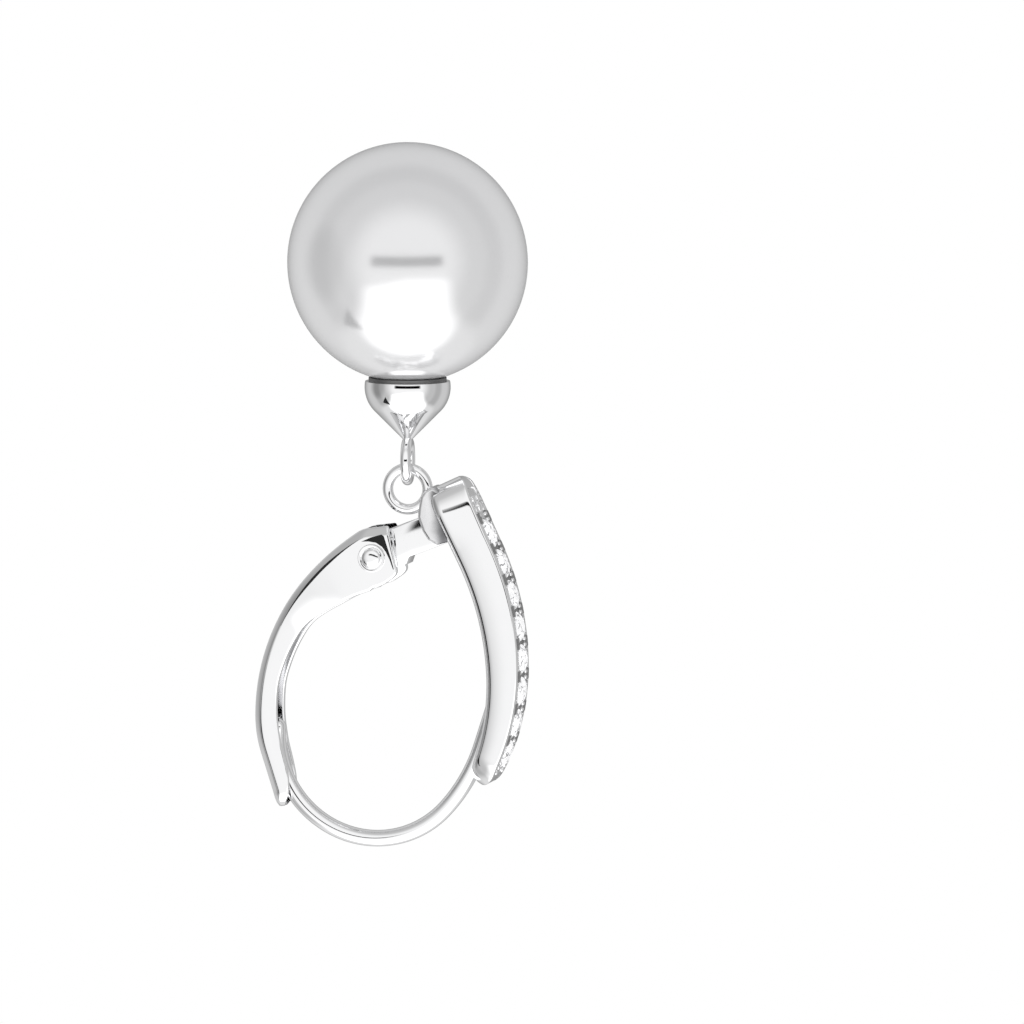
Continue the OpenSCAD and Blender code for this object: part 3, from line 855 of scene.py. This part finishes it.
# The painted shadow in the dark corner between the rivet's round boss and the raised end of the cheek, as
# on_hinge has it
CORNER = [(-0.2, 0.95), (0.37, 0.98), (0.91, 0.93), (1.0, 0.81), (0.97, 0.29), (0.94, -0.35), (0.88, -0.92),
          (0.84, -0.91), (0.85, -0.4), (0.81, 0.03), (0.72, 0.34), (0.5, 0.64), (0.14, 0.84)]


def crease_rings(side):
    """A narrow strip of painted shadow where the bevel meets the cheek, thin at both ends."""
    rings = []
    for k in range(61):
        t = k / 60
        s = CREASE_FROM + (CREASE_TO - CREASE_FROM) * t
        half = max(0.004, CREASE_HALF * min(1.0, 3 * t, 2.2 * (1 - t)))
        x, w = lever_row(s, HALF_W), bevel_at(s) + 0.01
        top, low = w - half, w + half
        ring = [(x + 0.006, top), (x + 0.012, w), (x + 0.006, low), (x - 0.06, low), (x - 0.06, top)]
        rings.append([lever_place(s, side * across, down) for across, down in ring])
    return rings


def corner_rings(side):
    return [[on_hinge(Vector((x, y, side * across))) for x, y in CORNER] for across in (1.06, 1.129)]


creases = [ring_part(rings(side)) for side in (1, -1) for rings in (crease_rings, corner_rings)]
cheek_crease_shadows = join_parts("cheek_crease_shadows", creases)
dress(cheek_crease_shadows, "lever", CREASE_SHADOW)
print("creases and corners", len(creases))

# %% [markdown]
# ## Hinge rivet
# A plain rivet holds the lever to the tab. Its head is a flat disc with a turned dome in the middle, so it
# is spun from a profile, once for each side, with a plain shaft between.

# %% Rivet
HEAD_X = 1.14
RIVET = [(0, -0.2), (0.7, -0.2), (0.7, 0.04), (0.69, 0.075), (0.665, 0.1), (0.6, 0.1),
         (0.575, 0.095), (0.555, 0.06), (0.53, 0.05), (0.505, 0.06), (0.49, 0.09), (0.475, 0.13),
         (0.44, 0.175), (0.38, 0.215), (0.3, 0.24), (0.2, 0.255), (0.1, 0.26), (0, 0.26)]


def head_rings(side):
    return lathe_rings(RIVET, 64, lambda p: Vector((side * (HEAD_X + p.z), p.x * side, HINGE_Z + p.y)))


shaft = lathe_rings([(0.44, -1.0), (0.44, 1.0)], 40, lambda p: Vector((p.z, p.x, HINGE_Z + p.y)))
hinge_rivet = skin("hinge_rivet", head_rings(1), head_rings(-1), shaft)
dress(hinge_rivet, "lever", POLISHED, ["hinge_pin"])
print("rivet", len(hinge_rivet.data.polygons), "faces")

# %% [markdown]
# ## Cup and loop
# The cup is spun sheet: a short collar against the pearl, a round shoulder, and a straight cone up to the
# soldered loop. The peg below it is cemented into the drilled pearl. All of it but the loop is turned round
# one axis, and the collar is a piece of its own because it sits in shade.

# %% Cup profile
CUP_R, COLLAR_R, CUP_ROUND, PEG_R = 2.15, 1.95, 1.72, 0.4
BORE_R, SHOULDER_FROM, SHOULDER_TURN, CONE_STEPS = 0.44, -10, 55, 8
seat = PEARL_R + 0.05
rim_h = sqrt(seat ** 2 - COLLAR_R ** 2)
wide_h, in_r = rim_h + 0.5, CUP_R - CUP_ROUND
tip_h = LOOP_DROP - LOOP_R - 0.1

collar = [(BORE_R, seat + 0.3)]
collar += [(r, sqrt(seat ** 2 - r ** 2)) for r in (BORE_R, 0.8, 1.2, 1.6, COLLAR_R - 0.03)]
collar += [(COLLAR_R, rim_h + 0.02), (COLLAR_R, rim_h + 0.24), (BORE_R, rim_h + 0.4)]
cup = [(BORE_R, rim_h + 0.4), (COLLAR_R, rim_h + 0.2)]
for k in range(27):
    a = radians(SHOULDER_FROM + SHOULDER_TURN * k / 26)
    cup.append((in_r + CUP_ROUND * cos(a), wide_h + CUP_ROUND * sin(a)))
tip_r = cup[-1][0] - (tip_h - cup[-1][1])
for left in range(CONE_STEPS, 0, -1):
    r, h = cup[-1]
    cup.append((r + (tip_r - r) / left, h + (tip_h - h) / left))
cup += [(tip_r * 0.6, tip_h + 0.08), (0, tip_h + 0.1)]
peg = [(0, 2.6), (0.34, 2.6), (PEG_R, 2.68), (PEG_R, seat + 0.2)]
print("cup %.2f mm wide, %.2f mm tall" % (2 * CUP_R, tip_h - rim_h))


# %% Cup
def on_drop(p):
    return Vector((p.x, p.y + RING_C[0], p.z + PEARL_Z))


def on_loop(p):
    x, y, turn = p.x, -p.z, radians(LOOP_TURN)
    return on_drop(Vector((x * cos(turn) - y * sin(turn), x * sin(turn) + y * cos(turn), LOOP_DROP + p.y)))


pearl_cup = join_parts("cup_and_loop", [
    ring_part(lathe_rings(cup, 96, on_drop)),
    ring_part(lathe_rings(peg, 32, on_drop)),
    wire_ring_part(LOOP_R, LOOP_WIRE, on_loop),
])
dress(pearl_cup, "drop", DRAWN, ["pearl_cup"])
seat_collar = skin("seat_collar", lathe_rings(collar, 96, on_drop))
dress(seat_collar, "drop", SHADED)
print("cup and loop", len(pearl_cup.data.polygons), "faces")

# %% [markdown]
# ## Pearl
# A round pearl is never a perfect ball, but a good one comes close. A ball from Blender's menu would have
# no drill hole, so this one is turned from a profile with its hole, and strays from round by a hundredth of
# a millimetre or so.

# %% Pearl
STRAY = 0.0012
top = sqrt(PEARL_R ** 2 - DRILL_R ** 2)
ball = [(0, PEARL_R - DRILL_DEEP), (DRILL_R, PEARL_R - DRILL_DEEP), (DRILL_R, top - 0.02)]
first = asin(DRILL_R * 1.08 / PEARL_R)
for k in range(129):
    a = first + (pi - first) * k / 128
    ball.append((PEARL_R * sin(a), PEARL_R * cos(a)))


def on_pearl(p):
    wave = sin(3 * atan2(p.y, p.x) + 0.9) * sin(2.1 * p.z / PEARL_R + 0.4)
    stray = 1 + STRAY * wave * hypot(p.x, p.y) / PEARL_R
    return on_drop(Vector((p.x * stray, p.y * stray, p.z)))


pearl = skin("pearl_ball", lathe_rings(ball, 160, on_pearl))
dress(pearl, "drop", PEARL, ["pearl"])
print("pearl", len(pearl.data.polygons), "faces")

# %% [markdown]
# ## Studio
# A light tent, as for a catalogue picture. Polished silver only shows its form by what it mirrors, so the
# tent is what draws it: one big soft light over the top and down to just above the camera, a dark slot that
# the camera looks through, a pale table below, and grey sides and back. Lamps would leave hard spots, so the
# cloth itself shines, by the direction in which it is seen from the earring. The tent is only mirrored. The
# even white light that falls on the pearl, and the white background, come from the world.

# %% Directions
CENTRE = Vector((0, -0.0012, -0.0165))
AZ, EL, PX = radians(75), radians(-6), 0.0502 * MM
toward = Vector((sin(AZ) * cos(EL), -cos(AZ) * cos(EL), sin(EL)))
right = Vector((cos(AZ), sin(AZ), 0))
up = right.cross(-toward)
front = Vector((sin(AZ), -cos(AZ), 0))
print("camera stands", [round(c, 2) for c in toward], "from the earring")


# %% Tent cloth
def tent_cloth():
    """What the tent shines with, from the angles of each direction seen from the earring, in degrees."""
    s = Surface("tent_cloth")
    way = s.node("ShaderNodeVectorMath", {"operation": "NORMALIZE"}, {0: s.place})

    def along(axis):
        dot = {"operation": "DOT_PRODUCT"}
        return s.node("ShaderNodeVectorMath", dot, {0: way, 1: tuple(axis)}, out="Value")

    turn = along(right).math("ARCTAN2", along(front)) * degrees(1)
    high = along((0, 0, 1)).math("ARCSINE") * degrees(1)
    off = along(toward).math("ARCCOSINE") * degrees(1)

    sides = 1.0 - 0.45 * s.fade(off, 34, 68) - 0.1 * s.fade(off, 76, 88) + 0.16 * s.fade(off, 96, 112)
    sides = sides - 0.3 * s.fade(off, 125, 168) - 0.18 * s.fade(along(right), 0.85, 0.98)
    roof = s.fade(high, 38, 52)
    cloth = sides * (1 - roof) + 0.78 * roof

    back = (along(front) - 0.35).limit(-2.0, 0.0) / 0.47
    wide = along(right) / 0.66
    panel = 1 - s.fade((wide * wide + back * back) ** 0.5, 0.76, 1.14)
    light = s.fade(high - 0.2 * turn.limit(0.0, 30.0), 7, 15) * panel

    slot = s.fade(high, -12, -9) * (1 - s.fade(high, -3, 0)) * (1 - s.fade(turn.math("ABSOLUTE"), 31, 38))
    value = (cloth * (1 - light) + 1.75 * light) * (1 - slot)
    grey = s.node("ShaderNodeCombineColor", None, {"Red": value, "Green": value, "Blue": value})
    s.set(Base_Color=(0, 0, 0, 1), Roughness=1.0, Specular_IOR_Level=0.0)
    s.material.cycles.emission_sampling = "NONE"
    return s.set(Emission_Color=grey, Emission_Strength=1.0)


# %% Tent
def only_mirrored(piece):
    """Hides a studio piece from everything but mirrors."""
    bpy.context.scene.collection.objects.link(piece)
    piece.visible_camera = False
    piece.visible_shadow = False
    piece.visible_diffuse = False


tent_work = bmesh.new()
bmesh.ops.create_uvsphere(tent_work, u_segments=48, v_segments=24, radius=0.8)
tent_mesh = bpy.data.meshes.new("light_tent")
tent_work.to_mesh(tent_mesh)
tent_work.free()
tent_mesh.materials.append(tent_cloth())
tent = bpy.data.objects.new("light_tent", tent_mesh)
tent.location = CENTRE
only_mirrored(tent)
print("tent", len(tent_mesh.polygons), "faces")

# %% [markdown]
# ## Side card
# A photographer of silver sets small black cards beside it, because an edge only shows where it mirrors
# something dark. One three-cornered card of felt stands beside this earring. It draws the dark corner on
# the cup, and a soft one on the pearl.

# %% Side card
CARD_TURN, CARD_HIGH, CARD_AWAY, CARD_AIM = radians(71), radians(8), 0.028, Vector((0, 0, -0.004))
CARD = [(-5, -9), (5, 0), (-5, 9)]

level = front * cos(CARD_TURN) * cos(CARD_HIGH) + right * sin(CARD_TURN) * cos(CARD_HIGH)
way = level + Vector((0, 0, sin(CARD_HIGH)))
side = Vector((0, 0, 1)).cross(way).normalized()
lift = way.cross(side).normalized()
made = bpy.data.objects.new("side_flag", bpy.data.meshes.new("side_flag"))
points = [CARD_AIM + way * CARD_AWAY + (side * x + lift * y) * MM for x, y in CARD]
made.data.from_pydata(points, [], [list(range(len(points)))])
felt = Surface("side_flag_felt")
black = felt.mix(felt.noise(200.0), (0.01, 0.01, 0.01), (0.02, 0.02, 0.02))
made.data.materials.append(felt.set(Base_Color=black, Roughness=1.0))
only_mirrored(made)
print("side card", round(CARD_AWAY / MM), "mm away")

# %% [markdown]
# ## Floor and white world
# The floor is plain pale paper well below the hanging drop. It is kept out of the mirrors, because the tent
# already gives them their table. The world is plain white: it lights the pearl evenly and is the picture's
# background.

# %% Floor and world
FLOOR_Z, FLOOR_HALF = -0.12, 1.2
corners = [(x * FLOOR_HALF, y * FLOOR_HALF, FLOOR_Z) for x, y in ((-1, -1), (1, -1), (1, 1), (-1, 1))]
floor_mesh = bpy.data.meshes.new("floor")
floor_mesh.from_pydata(corners, [], [(0, 1, 2, 3)])
paper = Surface("floor_paper")
sheet = paper.mix(paper.noise(30.0, 3.0), (0.87, 0.87, 0.88), (0.84, 0.84, 0.85))
floor_mesh.materials.append(paper.set(Base_Color=sheet, Roughness=0.9))
floor = bpy.data.objects.new("floor", floor_mesh)
bpy.context.scene.collection.objects.link(floor)
floor.visible_glossy = False

world = bpy.data.worlds.new("studio")
bpy.context.scene.world = world
world.use_nodes = True
sky = world.node_tree.nodes["Background"]
sky.inputs["Color"].default_value = (1, 1, 1, 1)
sky.inputs["Strength"].default_value = 1.0
print("floor", round(-FLOOR_Z / MM), "mm below the ear")

# %% [markdown]
# ## Camera
# The picture shows the earring upside down, so the camera is turned by half a turn round its line of sight.
# It stands far off with a long lens, as for small jewellery, so that near and far parts keep their sizes.
# The lens is worked out from one length: a pixel is 0.0502 mm at the earring.

# %% Camera
DISTANCE, IMAGE, SENSOR = 0.5, 1024, 36
EAR_AT = (378, 830)
scene = bpy.context.scene
scene.view_settings.view_transform = "Standard"
camera_data = bpy.data.cameras.new("camera")
camera = bpy.data.objects.new("camera", camera_data)
scene.collection.objects.link(camera)
scene.camera = camera
target = right * (EAR_AT[0] - IMAGE / 2) * PX + up * (IMAGE / 2 - EAR_AT[1]) * PX
spot = target + toward * DISTANCE
camera.matrix_world = Matrix((
    (-right.x, -up.x, toward.x, spot.x),
    (-right.y, -up.y, toward.y, spot.y),
    (-right.z, -up.z, toward.z, spot.z),
    (0, 0, 0, 1)))
camera_data.sensor_width = SENSOR
camera_data.lens = SENSOR * DISTANCE / (IMAGE * PX)
camera_data.clip_start = 0.01
camera_data.clip_end = 10
print("camera %.0f mm away, lens %.0f mm" % (DISTANCE / MM, camera_data.lens))
